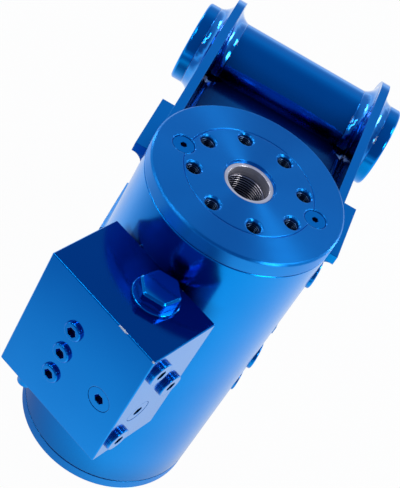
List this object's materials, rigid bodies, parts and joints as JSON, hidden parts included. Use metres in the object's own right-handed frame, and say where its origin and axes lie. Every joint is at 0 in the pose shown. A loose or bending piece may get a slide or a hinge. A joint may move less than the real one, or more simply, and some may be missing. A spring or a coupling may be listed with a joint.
{
  "type": "platform rotator",
  "caption": "Blue helical hydraulic rotator with a bolt flange, a valve block and a welded cross tube bracket for a work platform.",
  "frame": {"origin": "on the turning axis, at the rear face of the shaft flange, which the part stands on", "axes": "+Z along the turning axis towards the front end cap, +X along the cross tube to the right, +Y from the axis to the cross tube"},
  "size_m": [0.203, 0.459, 0.323],
  "materials": {
    "blue_paint": "glossy candy blue over machined steel",
    "bare_steel": "turned and oiled",
    "seal_rubber": "smooth moulded",
    "bearing_plastic": "machined",
    "bush_bronze": "turned bronze"
  },
  "bodies": {
    "housing": {"housing": "blue_paint", "ring_gear": "bare_steel", "ring_gear_pin": "blue_paint", "body_port_plugs": "blue_paint", "front_thrust_washer": "bearing_plastic", "rear_thrust_washer": "bearing_plastic", "valve_block": "blue_paint", "port_seals": "seal_rubber", "block_screws": "blue_paint", "side_port_plugs": "blue_paint", "side_flush_plug": "blue_paint", "front_flush_plug": "blue_paint", "bottom_port_plug": "blue_paint", "cartridge_washer": "blue_paint", "cartridge_valve": "blue_paint", "cross_tube": "blue_paint", "tube_bush_left": "bush_bronze", "tube_bush_right": "bush_bronze", "ear_left": "blue_paint", "ear_right": "blue_paint", "wing_front_left": "blue_paint", "wing_front_right": "blue_paint", "wing_rear_left": "blue_paint", "wing_rear_right": "blue_paint", "web_plate": "blue_paint", "tube_welds": "blue_paint", "wing_welds": "blue_paint", "ear_welds": "blue_paint", "web_welds": "blue_paint"},
    "output": {"shaft": "blue_paint", "end_cap": "blue_paint", "end_cap_seal": "seal_rubber", "bore_collar": "bare_steel", "lock_pins": "bare_steel", "lock_set_screws": "blue_paint", "rear_wear_ring": "bearing_plastic", "rear_shaft_seal": "seal_rubber", "front_wear_ring": "bearing_plastic", "front_shaft_seal": "seal_rubber"},
    "piston_slide": {"piston_wear_ring": "bearing_plastic", "piston_outer_seal": "seal_rubber"},
    "piston": {"piston_sleeve": "bare_steel", "piston_inner_seal": "seal_rubber"}
  },
  "joints": [
    {"name": "output_turn", "type": "hinge", "parent": "housing", "child": "output", "pos_m": [0, 0, 0.16], "axis": [0, 0, 1], "range_deg": [-90, 90]},
    {"name": "piston_travel", "type": "slide", "parent": "housing", "child": "piston_slide", "axis": [0, 0, 1], "range_m": [-0.0301, 0.0301]},
    {"name": "sleeve_turn", "type": "hinge", "parent": "piston_slide", "child": "piston", "pos_m": [0, 0, 0.16], "axis": [0, 0, 1], "range_deg": [-45.1, 45.1]}
  ],
  "couplings": [
    {"joint": "piston_travel", "follows": "output_turn", "m_per_rad": 0.019099},
    {"joint": "sleeve_turn", "follows": "output_turn", "ratio": 0.5}
  ]
}
